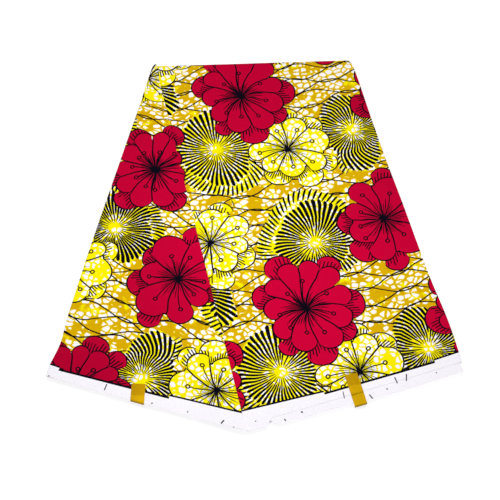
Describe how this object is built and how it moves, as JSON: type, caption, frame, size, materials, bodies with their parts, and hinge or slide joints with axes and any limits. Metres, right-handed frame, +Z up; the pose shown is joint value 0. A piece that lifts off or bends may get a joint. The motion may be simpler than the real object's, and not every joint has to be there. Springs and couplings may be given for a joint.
{
  "type": "folded length of printed cotton cloth",
  "caption": "Length of wax-print cotton folded selvedge to selvedge and laid flat as a fanned pack, with a knife pleat between its two front panels and blank foil labels.",
  "frame": {"origin": "centre of the bounding box, at the surface that the cloth lies on", "axes": "+X to the right, +Y from the selvedge towards the top fold, +Z up"},
  "size_m": [0.557, 0.6225, 0.0168],
  "materials": {
    "cloth": "matt printed plain-weave cotton",
    "cloth_red": "matt printed plain-weave cotton",
    "selvedge": "unprinted white cotton edges",
    "foil": "gold foil film"
  },
  "bodies": {
    "root": {"back_sheet": "cloth", "hidden_folds": "selvedge", "second_layer": "cloth", "right_panel": "cloth", "left_panel": "cloth_red", "left_label": "foil", "right_label": "foil"}
  },
  "joints": []
}
